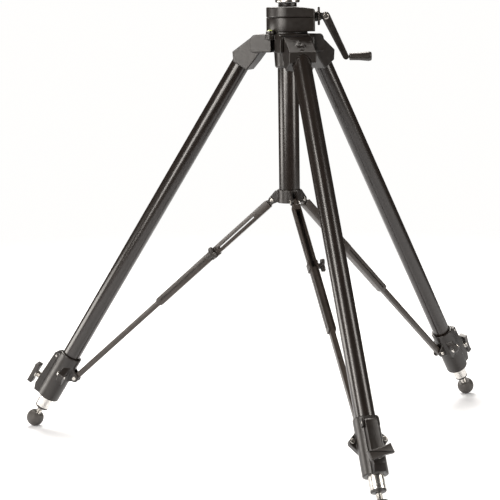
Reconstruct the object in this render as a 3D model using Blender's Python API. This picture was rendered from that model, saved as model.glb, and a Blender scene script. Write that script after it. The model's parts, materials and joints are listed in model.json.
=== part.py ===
"""Two-stage studio tripod with a geared centre column and a mid-level spreader.

Units are metres, +Z is up and the origin lies on the floor under the centre column.  Each moving body
hangs from an empty that sits on its joint axis.  A leg is drawn in its own frame: X points away from
the column, square to the leg, Y runs along the hip axis and Z runs up the leg.
"""
import math

import bmesh
import bpy
from mathutils import Matrix, Vector

MM = 0.001
GAP = 0.3 * MM

# Stance
LEG_AZIMUTHS = (0, 120, 240)
SPLAY = math.radians(32)
HIP_R = 48 * MM
HIP_Z = 700 * MM
LEG_OFFSET = 12 * MM

# Legs
LEG_TUBE_R = 16 * MM
LEG_TUBE_WALL = 1.8 * MM
INNER_TUBE_R = 12.5 * MM
INNER_TUBE_WALL = 1.8 * MM
BALL_R = 16 * MM
YOKE_END = 50 * MM
YOKE_SOCKET = 30 * MM
YOKE_HALF_WIDTH = 23.7 * MM
CLAMP_TOP = 672 * MM
CLAMP_LENGTH = 92 * MM
CLAMP_R = 20.5 * MM
TUBE_SEAT = 40 * MM
INNER_TUBE_TOP = 312 * MM
INNER_TUBE_SHOWN = 22 * MM

# Spreader
HUB_PIN_R = 30 * MM
HUB_PIN_Z = 428 * MM
STRUT_PIN_DROP = 704 * MM
STRUT_PIN_INSET = 28 * MM
STRUT_HEIGHT = 15 * MM
STRUT_WIDTH = 13.2 * MM
STRUT_WALL = 1.8 * MM
CHANNEL_LENGTH = 285 * MM
STRUT_LOCK_AT = 145 * MM
BAR_HEIGHT = 10 * MM

# Centre column and head
GUIDE_R = 18 * MM
GUIDE_WALL = 1.8 * MM
COLUMN_R = 14 * MM
COLUMN_WALL = 2 * MM
CROWN_TOP = 715 * MM
HOUSING_BOTTOM = 719 * MM
HOUSING_TOP = 760.5 * MM
HOUSING_PARTING = 742.5 * MM
HOUSING_R = 36.5 * MM
HOUSING_REACH = 46 * MM
HEAD_TURN = math.radians(-15)
SHAFT_Z = 744.5 * MM
SHAFT_R = 4 * MM
PINION_TEETH = 10
TOOTH_MODULE = 1.5 * MM
PINION_R = PINION_TEETH * TOOTH_MODULE / 2
RACK_PITCH_Y = -12.5 * MM
SHAFT_Y = RACK_PITCH_Y - PINION_R
COLUMN_TRAVEL = 250 * MM

# Hand crank
CRANK_PIVOT_X = 64.5 * MM
CRANK_LENGTH = 77 * MM
CRANK_LEAN = math.radians(26)
GRIP_LENGTH = 38 * MM

# Where the leg is measured from the hip, down its own axis
BALL_DROP = (HIP_Z + LEG_OFFSET * math.sin(SPLAY) - BALL_R) / math.cos(SPLAY)
CLAMP_END = CLAMP_TOP + CLAMP_LENGTH
STRUT_PIN = Vector((LEG_OFFSET - STRUT_PIN_INSET, 0, -STRUT_PIN_DROP))

SIDES = 20
ROUND_SIDES = 24
SMALL_SIDES = 12
MATERIALS = {
    "black_anodised": ((0.028, 0.026, 0.025), 1.0, 0.22),
    "cast_black": ((0.045, 0.043, 0.041), 0.6, 0.5),
    "strut_grey": ((0.10, 0.098, 0.094), 0.8, 0.42),
    "bright_aluminium": ((0.75, 0.75, 0.74), 1.0, 0.25),
    "bright_steel": ((0.70, 0.70, 0.70), 1.0, 0.2),
    "bronze": ((0.55, 0.36, 0.16), 1.0, 0.35),
    "black_plastic": ((0.04, 0.04, 0.04), 0.0, 0.45),
    "grey_rubber": ((0.085, 0.085, 0.085), 0.0, 0.75),
    "level_green": ((0.45, 0.62, 0.12), 0.0, 0.12),
}


# ---------------------------------------------------------------- shapes
def mesh_from(verts, faces):
    """A closed mesh with its faces pointing out."""
    mesh = bpy.data.meshes.new("shape")
    mesh.from_pydata([tuple(v) for v in verts], [], faces)
    work = bmesh.new()
    work.from_mesh(mesh)
    bmesh.ops.recalc_face_normals(work, faces=work.faces)
    work.to_mesh(mesh)
    work.free()
    return mesh


def turned(profile, sides=SIDES):
    """Turn (radius, height) points about Z; a zero radius closes the shape on the axis."""
    verts, rows = [], []
    for radius, height in profile:
        if radius == 0:
            rows.append([len(verts)] * sides)
            verts.append((0, 0, height))
            continue
        rows.append(list(range(len(verts), len(verts) + sides)))
        for k in range(sides):
            angle = 2 * math.pi * k / sides
            verts.append((radius * math.cos(angle), radius * math.sin(angle), height))
    ring = profile[0][0] > 0
    pairs = list(zip(rows, rows[1:]))
    if ring:
        pairs.append((rows[-1], rows[0]))
    faces = []
    for low, high in pairs:
        for k in range(sides):
            after = (k + 1) % sides
            corners = (low[k], low[after], high[after], high[k])
            face = tuple(dict.fromkeys(corners))
            if len(face) > 2:
                faces.append(face)
    return mesh_from(verts, faces)


def prism(outline, start, end, axis="Y"):
    """Extrude a flat outline from start to end along an axis."""
    place = {
        "X": lambda a, b, c: (c, a, b),
        "Y": lambda a, b, c: (a, c, b),
        "Z": lambda a, b, c: (a, b, c),
    }[axis]
    count = len(outline)
    verts = [place(a, b, c) for c in (start, end) for a, b in outline]
    faces = [tuple(range(count)), tuple(range(2 * count - 1, count - 1, -1))]
    for k in range(count):
        after = (k + 1) % count
        faces.append((k, after, count + after, count + k))
    return mesh_from(verts, faces)


def box(low, high):
    corners = [(low[0], low[1]), (high[0], low[1]), (high[0], high[1]), (low[0], high[1])]
    return prism(corners, low[2], high[2], "Z")


def rod(radius, start, end, sides=SMALL_SIDES):
    return turned([(0, start), (radius, start), (radius, end), (0, end)], sides)


def pipe(outer, inner, start, end, sides=SIDES):
    return turned([(outer, start), (outer, end), (inner, end), (inner, start)], sides)


def arc(centre, radius, first, last, steps):
    """Points on an arc, from one angle in degrees to another."""
    points = []
    for k in range(steps + 1):
        angle = math.radians(first + (last - first) * k / steps)
        points.append((centre[0] + radius * math.cos(angle), centre[1] + radius * math.sin(angle)))
    return points


def moved(mesh, offset=(0, 0, 0), turn=None):
    """The mesh turned, then shifted."""
    matrix = Matrix.Translation(Vector(offset))
    if turn is not None:
        matrix = matrix @ turn
    mesh.transform(matrix)
    return mesh


def along_x(mesh, offset=(0, 0, 0)):
    return moved(mesh, offset, Matrix.Rotation(math.pi / 2, 4, "Y"))


def along_y(mesh, offset=(0, 0, 0)):
    return moved(mesh, offset, Matrix.Rotation(-math.pi / 2, 4, "X"))


# ---------------------------------------------------------------- objects
def make_materials():
    made = {}
    for name, (colour, metallic, roughness) in MATERIALS.items():
        material = bpy.data.materials.new(name)
        material.use_nodes = True
        shader = material.node_tree.nodes["Principled BSDF"]
        shader.inputs["Base Color"].default_value = (*colour, 1)
        shader.inputs["Metallic"].default_value = metallic
        shader.inputs["Roughness"].default_value = roughness
        made[name] = material
    return made


def joint_frame(name, parent=None, matrix=None):
    """An empty that carries one moving body."""
    empty = bpy.data.objects.new(name, None)
    bpy.context.scene.collection.objects.link(empty)
    empty.parent = parent
    empty.matrix_local = matrix or Matrix()
    return empty


def add_object(name, mesh, parent):
    placed = bpy.data.objects.new(name, mesh)
    bpy.context.scene.collection.objects.link(placed)
    placed.parent = parent
    return placed


def part(name, frame, material, base, joined=(), cut=(), added=()):
    """One node: a base with shapes joined to it, others then cut from it, and a last few added."""
    node = add_object(name, base, frame)
    node.data.materials.append(material)
    for operation, meshes in (("UNION", joined), ("DIFFERENCE", cut), ("UNION", added)):
        for mesh in meshes:
            tool = add_object("tool_" + name, mesh, frame)
            tool.hide_render = True
            tool.display_type = "WIRE"
            modifier = node.modifiers.new(operation.title(), "BOOLEAN")
            modifier.operation = operation
            modifier.solver = "EXACT"
            modifier.object = tool
    node.data.shade_smooth()
    node.data.set_sharp_from_angle(angle=math.radians(35))
    return node


# ---------------------------------------------------------------- centre
def arm_turn(azimuth):
    """The turn that takes +X to a leg's direction; azimuth 0 is -Y."""
    return Matrix.Rotation(math.radians(azimuth - 90), 4, "Z")


def make_crown(paint):
    """The spider casting: a collar round the guide tube and three slotted arms for the legs."""
    ear_outer = 59 * MM
    ear_bottom = 684 * MM
    ear_half_width = 30 * MM
    corner = 10 * MM
    slot_root = 27 * MM
    slot_top = HIP_Z + 11.6 * MM
    roof_end = 50 * MM
    boss_r = 8.5 * MM
    boss_at = 43.5 * MM
    bore = GUIDE_R + GAP
    body = turned([
        (20.5 * MM, 657 * MM), (22.5 * MM, 660 * MM), (24 * MM, ear_bottom), (26 * MM, 687 * MM),
        (26 * MM, 708 * MM), (38 * MM, 711.5 * MM), (38 * MM, CROWN_TOP), (34 * MM, CROWN_TOP),
        (34 * MM, HOUSING_BOTTOM - GAP), (bore, HOUSING_BOTTOM - GAP), (bore, 657 * MM),
    ], ROUND_SIDES)
    side = [(bore + 4 * MM, ear_bottom), (ear_outer - 4 * MM, ear_bottom)]
    side += arc((ear_outer - 4 * MM, ear_bottom + 4 * MM), 4 * MM, -60, 0, 2)
    side += arc((ear_outer - corner, CROWN_TOP - corner - GAP), corner, 0, 90, 5)
    side += [(bore + 4 * MM, CROWN_TOP - GAP)]
    slot = [(slot_root, 600 * MM), (80 * MM, 600 * MM), (80 * MM, 740 * MM), (roof_end, 740 * MM),
            (roof_end, slot_top), (slot_root, slot_top)]
    arms, cuts = [], []
    for azimuth in LEG_AZIMUTHS:
        turn = arm_turn(azimuth)
        arms.append(moved(prism(side, -ear_half_width, ear_half_width), turn=turn))
        cuts.append(moved(prism(slot, -YOKE_HALF_WIDTH - GAP, YOKE_HALF_WIDTH + GAP), turn=turn))
        pin_hole = along_y(rod(4.2 * MM, -28.3 * MM, 28.3 * MM), (HIP_R, 0, HIP_Z))
        cuts.append(moved(pin_hole, turn=turn))
    boss = moved(rod(boss_r, 706 * MM, CROWN_TOP - 2 * GAP, 24), (boss_at, 0, 0))
    boss_web = box((30 * MM, -6 * MM, 707 * MM), (boss_at, 6 * MM, CROWN_TOP - 3 * GAP))
    arms += [moved(boss, turn=arm_turn(-60)), moved(boss_web, turn=arm_turn(-60))]
    part("crown_casting", None, paint["cast_black"], body, joined=arms, cut=cuts)
    vial = turned([(0, CROWN_TOP), (6.8 * MM, CROWN_TOP), (6.8 * MM, CROWN_TOP + 5 * MM),
                   (4.8 * MM, CROWN_TOP + 7.5 * MM), (0, CROWN_TOP + 8 * MM)], 20)
    vial = moved(moved(vial, (boss_at, 0, 0)), turn=arm_turn(-60))
    part("bubble_level", None, paint["level_green"], vial)
    for number, azimuth in enumerate(LEG_AZIMUTHS, 1):
        pin = along_y(rod(3.9 * MM, -28 * MM, 28 * MM), (HIP_R, 0, HIP_Z))
        part("hip_pin_%d" % number, None, paint["bright_steel"], moved(pin, turn=arm_turn(azimuth)))


def make_guide_tube(paint):
    """The fixed outer tube that carries the spreader hub, with a plain bush at its mouth."""
    bottom = 431 * MM
    top = CROWN_TOP + 3 * MM
    inner = GUIDE_R - GUIDE_WALL
    part("guide_tube", None, paint["black_anodised"], pipe(GUIDE_R, inner, bottom, top, ROUND_SIDES))
    bush = pipe(inner - GAP, COLUMN_R + 1.5 * GAP, top - 22 * MM, top, ROUND_SIDES)
    part("guide_bush", None, paint["black_plastic"], bush)


def make_spreader_hub(paint):
    """The cup at the foot of the guide tube, with three forked lugs."""
    bottom, floor, top = 424 * MM, 430.7 * MM, 447 * MM
    wall = 2.7 * MM
    bore = GUIDE_R + GAP
    outer = bore + wall
    cup = turned([(outer - 1 * MM, bottom), (outer, bottom + 1 * MM), (outer, top - 1 * MM),
                  (outer - 1 * MM, top), (bore, top), (bore, floor),
                  (14 * MM, floor), (14 * MM, bottom)], ROUND_SIDES)
    lug_r = 6.8 * MM
    lug = [(bore + 1 * MM, bottom + 1 * MM), (HUB_PIN_R - 1 * MM, HUB_PIN_Z - lug_r)]
    lug += arc((HUB_PIN_R, HUB_PIN_Z), lug_r, -80, 50, 4)
    lug += [(bore + 6 * MM, top - 2 * MM), (bore + 1 * MM, top - 2 * MM)]
    lugs, cuts = [], []
    for number, azimuth in enumerate(LEG_AZIMUTHS, 1):
        turn = arm_turn(azimuth)
        lugs.append(moved(prism(lug, -6.6 * MM, 6.6 * MM), turn=turn))
        fork = box((outer + 0.4 * MM, -3.3 * MM, 400 * MM), (60 * MM, 3.3 * MM, 460 * MM))
        cuts.append(moved(fork, turn=turn))
        cuts.append(moved(along_y(rod(2.8 * MM, -9 * MM, 9 * MM), (HUB_PIN_R, 0, HUB_PIN_Z)), turn=turn))
        pin = along_y(headed_pin(2.5 * MM, 6.9 * MM), (HUB_PIN_R, 0, HUB_PIN_Z))
        part("hub_pin_%d" % number, None, paint["bright_steel"], moved(pin, turn=turn))
    part("spreader_hub", None, paint["cast_black"], cup, joined=lugs, cut=cuts)


def headed_pin(radius, half_length, sides=SMALL_SIDES):
    """A pin along Z with a low head at each end."""
    head = 1.6 * MM
    end = half_length + head
    return turned([
        (0, -end), (radius * 1.25, -end), (radius * 1.45, -half_length), (radius, -half_length),
        (radius, half_length), (radius * 1.45, half_length), (radius * 1.25, end), (0, end)], sides)


# ---------------------------------------------------------------- gear housing and column
def housing_outline():
    """Seen from above: a half round about the column, run straight out to the crank side."""
    return arc((0, 0), HOUSING_R, 90, 270, 14) + [(HOUSING_REACH, -HOUSING_R), (HOUSING_REACH, HOUSING_R)]


def pinion_profile(outer, root, width_share):
    """A toothed wheel outline with straight-sided teeth, one of them on the first angle."""
    points = []
    step = 2 * math.pi / PINION_TEETH
    for k in range(PINION_TEETH):
        middle = step * k
        for radius, share in ((root, -1.25), (outer, -0.62), (outer, 0.62), (root, 1.25)):
            angle = middle + share * width_share * step / 2
            points.append((radius * math.cos(angle), radius * math.sin(angle)))
    return points


def make_gear_housing(frame, paint):
    """Base and cover, parted near the shaft's centre line, and the bearing nut on the crank side."""
    bore_r, pocket_r, pocket_half = SHAFT_R + GAP, 10.4 * MM, 3.6 * MM
    shaft_bore = along_x(turned([
        (0, -16.3 * MM), (bore_r, -16.3 * MM), (bore_r, -pocket_half), (pocket_r, -pocket_half),
        (pocket_r, pocket_half), (bore_r, pocket_half), (bore_r, 60 * MM), (0, 60 * MM)], 16),
        (0, SHAFT_Y, SHAFT_Z))
    column_bore = rod(COLUMN_R + 1.5 * GAP, 700 * MM, 780 * MM, ROUND_SIDES)

    def bores():
        return [shaft_bore.copy(), column_bore.copy()]

    base = prism(housing_outline(), HOUSING_BOTTOM, HOUSING_PARTING - GAP / 2, "Z")
    part("gear_housing_base", frame, paint["cast_black"], base, cut=bores())
    cover = prism(housing_outline(), HOUSING_PARTING + GAP / 2, HOUSING_TOP, "Z")
    slope = prism([
        (14 * MM, HOUSING_TOP + 1 * MM), (14 * MM, HOUSING_TOP), (30 * MM, HOUSING_TOP - 1.5 * MM),
        (HOUSING_REACH - 2 * MM, HOUSING_TOP - 3.4 * MM), (HOUSING_REACH + 1 * MM, HOUSING_TOP - 7 * MM),
        (HOUSING_REACH + 1 * MM, HOUSING_TOP + 1 * MM)], -60 * MM, 60 * MM)
    part("gear_housing_cover", frame, paint["cast_black"], cover, cut=[slope] + bores())
    nut = along_x(turned([
        (SHAFT_R + GAP, 0), (9 * MM, 0), (9 * MM, 3.4 * MM), (8 * MM, 4.4 * MM),
        (SHAFT_R + GAP, 4.4 * MM)], 12),
        (HOUSING_REACH + GAP, SHAFT_Y, SHAFT_Z))
    part("bearing_nut", frame, paint["cast_black"], nut)


def make_column(frame, paint):
    """The sliding column: tube, rack, collar, camera plate and camera stud."""
    foot, top = 440 * MM, HOUSING_TOP
    slot_foot = SHAFT_Z - COLUMN_TRAVEL - 12 * MM
    slot = box((-3.3 * MM, -20 * MM, slot_foot - GAP), (3.3 * MM, -5 * MM, top + 1 * MM))
    part("column_tube", frame, paint["black_anodised"],
         pipe(COLUMN_R, COLUMN_R - COLUMN_WALL, foot, top, ROUND_SIDES), cut=[slot])
    pitch = math.pi * TOOTH_MODULE
    half_depth = 1.2 * MM
    back = -9 * MM
    root = RACK_PITCH_Y + half_depth + 0.4 * MM
    tip = RACK_PITCH_Y - half_depth
    outline = [(back, slot_foot), (root, slot_foot)]
    first = math.ceil((slot_foot + 3 * MM - SHAFT_Z) / pitch)
    tooth = first
    while SHAFT_Z + tooth * pitch < top - 8 * MM:
        middle = SHAFT_Z + tooth * pitch
        outline += [(root, middle - 1.15 * MM), (tip, middle - 0.5 * MM),
                    (tip, middle + 0.5 * MM), (root, middle + 1.15 * MM)]
        tooth += 1
    outline += [(root, top - 5 * MM), (back, top - 5 * MM)]
    part("column_rack", frame, paint["bright_steel"], prism(outline, -3 * MM, 3 * MM, "X"))
    collar_low, collar_high = top + GAP, top + 7 * MM
    knurl = []
    for k in range(32):
        radius = 16 * MM if k % 2 else 15.3 * MM
        angle = 2 * math.pi * k / 32
        knurl.append((radius * math.cos(angle), radius * math.sin(angle)))
    plug = rod(COLUMN_R - COLUMN_WALL - GAP, top - 4 * MM, collar_low + 1 * MM, ROUND_SIDES)
    part("column_collar", frame, paint["cast_black"], prism(knurl, collar_low, collar_high, "Z"),
         joined=[plug], cut=[rod(3.2 * MM, top - 20 * MM, top + 30 * MM)])
    plate_low, plate_high = collar_high + GAP, collar_high + 6.3 * MM
    stud_r = 4.7 * MM
    part("camera_plate", frame, paint["bright_aluminium"], turned([
        (stud_r + GAP, plate_low), (19.5 * MM, plate_low), (21 * MM, plate_low + 1.5 * MM),
        (21 * MM, plate_high - 1 * MM), (20 * MM, plate_high), (stud_r + GAP, plate_high)], ROUND_SIDES))
    part("camera_stud", frame, paint["bright_steel"], turned([
        (0, top - 3 * MM), (2.9 * MM, top - 3 * MM), (2.9 * MM, collar_high + GAP),
        (stud_r, collar_high + GAP), (stud_r, plate_high + 9 * MM), (stud_r - 1 * MM, plate_high + 10 * MM),
        (0, plate_high + 10 * MM)], 24))


def make_crank(frame, paint):
    """Pinion shaft, friction ring, folding crank arm and free-turning grip."""
    shaft_frame = joint_frame("crank_axis", frame, Matrix.Translation((0, SHAFT_Y, SHAFT_Z)))
    ring_start = HOUSING_REACH + 5 * MM
    ring_end = ring_start + 3.5 * MM
    teeth = pinion_profile(PINION_R + 1.2 * MM, PINION_R - 1.8 * MM, 0.36)
    wheel = along_x(prism(teeth, -2.9 * MM, 2.9 * MM, "Z"))
    shoulder = along_x(rod(7.2 * MM, ring_end + GAP, ring_end + 2.5 * MM, 20))
    tongue_outline = arc((CRANK_PIVOT_X, 0), 5.6 * MM, -90, 90, 8)
    tongue_outline += [(ring_end + 2 * MM, 5.6 * MM), (ring_end + 2 * MM, -5.6 * MM)]
    tongue = prism(tongue_outline, -3 * MM, 3 * MM)
    screw_hole = along_y(rod(2.3 * MM, -5 * MM, 5 * MM), (CRANK_PIVOT_X, 0, 0))
    shaft = along_x(rod(SHAFT_R, -16 * MM, ring_end + 2 * MM))
    part("pinion_shaft", shaft_frame, paint["bright_steel"], shaft,
         joined=[wheel, shoulder, tongue], cut=[screw_hole])

    ring_frame = joint_frame("friction_ring_axis", shaft_frame)
    star = []
    points = 16
    for k in range(2 * points):
        radius = 15.6 * MM if k % 2 else 13.4 * MM
        angle = math.pi * k / points
        star.append((radius * math.cos(angle), radius * math.sin(angle)))
    part("friction_ring", ring_frame, paint["black_plastic"], prism(star, ring_start, ring_end, "X"),
         cut=[along_x(rod(SHAFT_R + GAP, 0, 80 * MM))])

    arm_frame = joint_frame("crank_arm_axis", shaft_frame, Matrix.Translation((CRANK_PIVOT_X, 0, 0)))
    lean = Vector((math.sin(CRANK_LEAN), -math.cos(CRANK_LEAN)))
    tip = lean * CRANK_LENGTH
    head_r, tip_r, half_thick = 7.2 * MM, 5 * MM, 6.6 * MM
    across = math.degrees(CRANK_LEAN)
    outline = arc((0, 0), head_r, across, across + 180, 10)
    outline += arc(tip, tip_r, across + 180, across + 360, 8)
    slot = box((-30 * MM, -3.3 * MM, -10.5 * MM), (11 * MM, 3.3 * MM, 20 * MM))
    grip_pin = along_x(rod(2.5 * MM, -2 * MM, GRIP_LENGTH - 3 * MM), (tip[0] + 2 * MM, 0, tip[1]))
    part("crank_arm", arm_frame, paint["cast_black"], prism(outline, -half_thick, half_thick),
         joined=[grip_pin], cut=[slot, along_y(rod(2.3 * MM, -9 * MM, 9 * MM))])
    part("crank_screw", arm_frame, paint["bright_steel"], along_y(turned([
        (0, -half_thick - 2.4 * MM), (4 * MM, -half_thick - 2.4 * MM), (5.4 * MM, -half_thick - 1.2 * MM),
        (5.4 * MM, -half_thick - GAP), (2 * MM, -half_thick - GAP), (2 * MM, half_thick + GAP),
        (3.4 * MM, half_thick + GAP), (3.4 * MM, half_thick + 2 * MM), (0, half_thick + 2 * MM)], 20)))

    grip_frame = joint_frame("crank_grip_axis", arm_frame, Matrix.Translation((tip[0], 0, tip[1])))
    start = tip_r + 1 * MM
    bore = 2.5 * MM + GAP
    end = start + GRIP_LENGTH
    part("crank_grip", grip_frame, paint["black_plastic"], along_x(turned([
        (bore, start), (5.4 * MM, start), (6.3 * MM, start + 1.5 * MM), (6.6 * MM, start + 16 * MM),
        (8.2 * MM, end - 5 * MM), (7.4 * MM, end - 1 * MM), (5.5 * MM, end), (0, end),
        (0, GRIP_LENGTH), (bore, GRIP_LENGTH)], 16)))


# ---------------------------------------------------------------- legs
def make_leg_top(number, leg, paint):
    """Yoke casting with a spigot, and the upper leg tube that is fixed on it."""
    lip = LEG_OFFSET + LEG_TUBE_R + 2.5 * MM
    outline = arc((0, 0), 11 * MM, 90, 195, 6)
    outline += [(-12.5 * MM, -12 * MM), (-10.5 * MM, -32 * MM), (-7.6 * MM, -YOKE_END),
                (LEG_OFFSET + 8 * MM, -YOKE_END), (lip, -36 * MM), (14.5 * MM, 3 * MM), (10 * MM, 7 * MM)]
    boss = prism([(-8 * MM, -5 * MM), (8 * MM, -5 * MM), (5.5 * MM, 3.5 * MM), (0, 8 * MM), (-5.5 * MM, 3.5 * MM)],
                 -2 * MM, 1 * MM, "X")
    face_lean = Matrix.Rotation(math.atan2(14.5 * MM - lip, 39 * MM), 4, "Y")
    boss = moved(boss, (22.5 * MM, 0, -16.5 * MM), turn=face_lean)
    spigot_r = LEG_TUBE_R - LEG_TUBE_WALL - GAP
    spigot = moved(rod(spigot_r, -62 * MM, -YOKE_SOCKET + 2 * MM, SIDES), (LEG_OFFSET, 0, 0))
    socket = moved(rod(LEG_TUBE_R + GAP, -YOKE_END - 1 * MM, -YOKE_SOCKET, SIDES), (LEG_OFFSET, 0, 0))
    pin_hole = along_y(rod(4.2 * MM, -30 * MM, 30 * MM))
    part("leg_yoke_%d" % number, leg, paint["cast_black"],
         prism(outline, -YOKE_HALF_WIDTH, YOKE_HALF_WIDTH), joined=[boss], cut=[socket, pin_hole],
         added=[spigot])
    tube = pipe(LEG_TUBE_R, LEG_TUBE_R - LEG_TUBE_WALL, -CLAMP_TOP - TUBE_SEAT, -YOKE_SOCKET - GAP)
    part("leg_tube_%d" % number, leg, paint["black_anodised"], moved(tube, (LEG_OFFSET, 0, 0)))


def make_leg_clamp(number, leg, paint):
    """Clamp housing pinched on the upper tube, its pressure jaw, and the pin that holds the strut."""
    seat_floor = -CLAMP_TOP - TUBE_SEAT - GAP
    top, end = -CLAMP_TOP, -CLAMP_END
    tube_bore, inner_bore = LEG_TUBE_R + GAP, INNER_TUBE_R + GAP
    barrel = moved(turned([
        (CLAMP_R - 1.5 * MM, end), (CLAMP_R, end + 1.5 * MM), (CLAMP_R, top - 1.5 * MM),
        (CLAMP_R - 1 * MM, top), (tube_bore, top), (tube_bore, seat_floor), (inner_bore, seat_floor),
        (inner_bore, end)]),
        (LEG_OFFSET, 0, 0))
    lug_r = 7.6 * MM
    pin = (STRUT_PIN.x, STRUT_PIN.z)
    lug = arc(pin, lug_r, 110, 280, 6) + [(LEG_OFFSET - 16.8 * MM, pin[1] - 16 * MM),
                                          (LEG_OFFSET - 16.8 * MM, pin[1] + 14 * MM)]
    ear_z = top - 34 * MM
    ear = [(-17 * MM, ear_z + 16 * MM), (-31 * MM, ear_z + 2 * MM), (-31 * MM, ear_z - 3 * MM),
           (-17 * MM, ear_z - 20 * MM), (17 * MM, ear_z - 20 * MM), (31 * MM, ear_z - 3 * MM),
           (31 * MM, ear_z + 2 * MM), (17 * MM, ear_z + 16 * MM)]
    ear_back, ear_front = LEG_OFFSET - 15 * MM, LEG_OFFSET - 3 * MM
    split = LEG_OFFSET - 9.5 * MM
    cheek_x = LEG_OFFSET + 13 * MM
    cheeks = box((cheek_x, -14 * MM, top - 19 * MM), (cheek_x + 11 * MM, 14 * MM, top - 7 * MM))
    jaw_half = 10 * MM
    joined = [prism(lug, -8.3 * MM, 8.3 * MM), prism(ear, ear_back, ear_front, "X"), cheeks]
    bore = moved(turned([(0, end - 1 * MM), (inner_bore, end - 1 * MM), (inner_bore, seat_floor),
                         (tube_bore, seat_floor), (tube_bore, top + 1 * MM), (0, top + 1 * MM)]),
                 (LEG_OFFSET, 0, 0))
    seat_x = LEG_OFFSET + 17 * MM
    jaw_seat = box((seat_x, -jaw_half - GAP, end - 1 * MM),
                   (seat_x + 30 * MM, jaw_half + GAP, top + 1 * MM))
    window = box((LEG_OFFSET + 6 * MM, -jaw_half - GAP, end - 1 * MM),
                 (LEG_OFFSET + 25 * MM, jaw_half + GAP, end + 18 * MM))
    fork = box((-40 * MM, -4.8 * MM, pin[1] - 9 * MM), (LEG_OFFSET - 19.6 * MM, 4.8 * MM, pin[1] + 20 * MM))
    cuts = [bore, jaw_seat, window, fork]
    jaw_pin_at = (LEG_OFFSET + 20.4 * MM, 0, top - 13 * MM)
    cuts.append(along_y(rod(3 * MM, -20 * MM, 20 * MM), (pin[0], 0, pin[1])))
    cuts.append(along_y(rod(2 * MM, -20 * MM, 20 * MM), jaw_pin_at))
    knob_z = knob_height()
    cuts.append(along_x(rod(3.1 * MM, LEG_OFFSET + 6 * MM, LEG_OFFSET + 40 * MM), (0, 0, knob_z)))
    for side in (-1, 1):
        y = side * 25.5 * MM
        slit_low, slit_high = sorted((side * 12 * MM, side * 40 * MM))
        cuts.append(box((split - 0.7 * MM, slit_low, ear_z - 22 * MM),
                        (split + 0.7 * MM, slit_high, top + 1 * MM)))
        cuts.append(along_x(rod(2 * MM, ear_back - 2 * MM, ear_front + 2 * MM), (0, y, ear_z)))
    part("clamp_housing_%d" % number, leg, paint["cast_black"], barrel, joined=joined, cut=cuts)
    part("strut_pin_%d" % number, leg, paint["bright_steel"],
         along_y(headed_pin(2.7 * MM, 8.6 * MM), (pin[0], 0, pin[1])))

    inner = LEG_OFFSET + 17.3 * MM
    pad = LEG_OFFSET + INNER_TUBE_R + 0.4 * MM
    outline = [(inner, top - 8 * MM), (LEG_OFFSET + 25 * MM, top - 8 * MM),
               (LEG_OFFSET + 27 * MM, top - 10.5 * MM), (LEG_OFFSET + 31 * MM, end + 11 * MM),
               (LEG_OFFSET + 27 * MM, end - 1 * MM), (pad, end - 1.5 * MM),
               (pad, end + 17 * MM), (inner, end + 17.6 * MM)]
    part("clamp_jaw_%d" % number, leg, paint["cast_black"], prism(outline, -jaw_half, jaw_half),
         joined=[along_y(rod(1.7 * MM, -13.6 * MM, 13.6 * MM), jaw_pin_at)],
         cut=[along_x(rod(3.1 * MM, LEG_OFFSET + 6 * MM, LEG_OFFSET + 40 * MM), (0, 0, knob_z))])


def knob_height():
    """Where the clamp knob's screw crosses the leg, on the leg's own Z."""
    return -CLAMP_TOP - 68 * MM


def wing_outline(reach, waist, tip):
    """A two-winged grip outline, long along Z, with hollow flanks and blunt ends."""
    right = []
    steps = 4
    for k in range(-steps, steps + 1):
        z = reach * k / steps
        right.append((waist + (tip - waist) * (z / reach) ** 2, z))
    return right + [(-y, z) for y, z in reversed(right)]


def make_clamp_knob(number, leg, paint, turn):
    """Wing knob whose screw presses the clamp jaw on the inner tube."""
    place = Matrix.Translation((LEG_OFFSET, 0, knob_height()))
    place @= Matrix.Rotation(math.radians(turn), 4, "X")
    axis = joint_frame("clamp_knob_axis_%d" % number, leg, place)
    stem = along_x(turned([
        (0, 13.4 * MM), (2.8 * MM, 13.4 * MM), (2.8 * MM, 30.7 * MM), (6.2 * MM, 30.7 * MM),
        (6.2 * MM, 37 * MM), (8 * MM, 40 * MM), (0, 40 * MM)], 20))
    wing = prism(wing_outline(19.5 * MM, 6.5 * MM, 8 * MM), 38.4 * MM, 48 * MM, "X")
    part("clamp_knob_%d" % number, axis, paint["black_plastic"], stem, joined=[wing])


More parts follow.
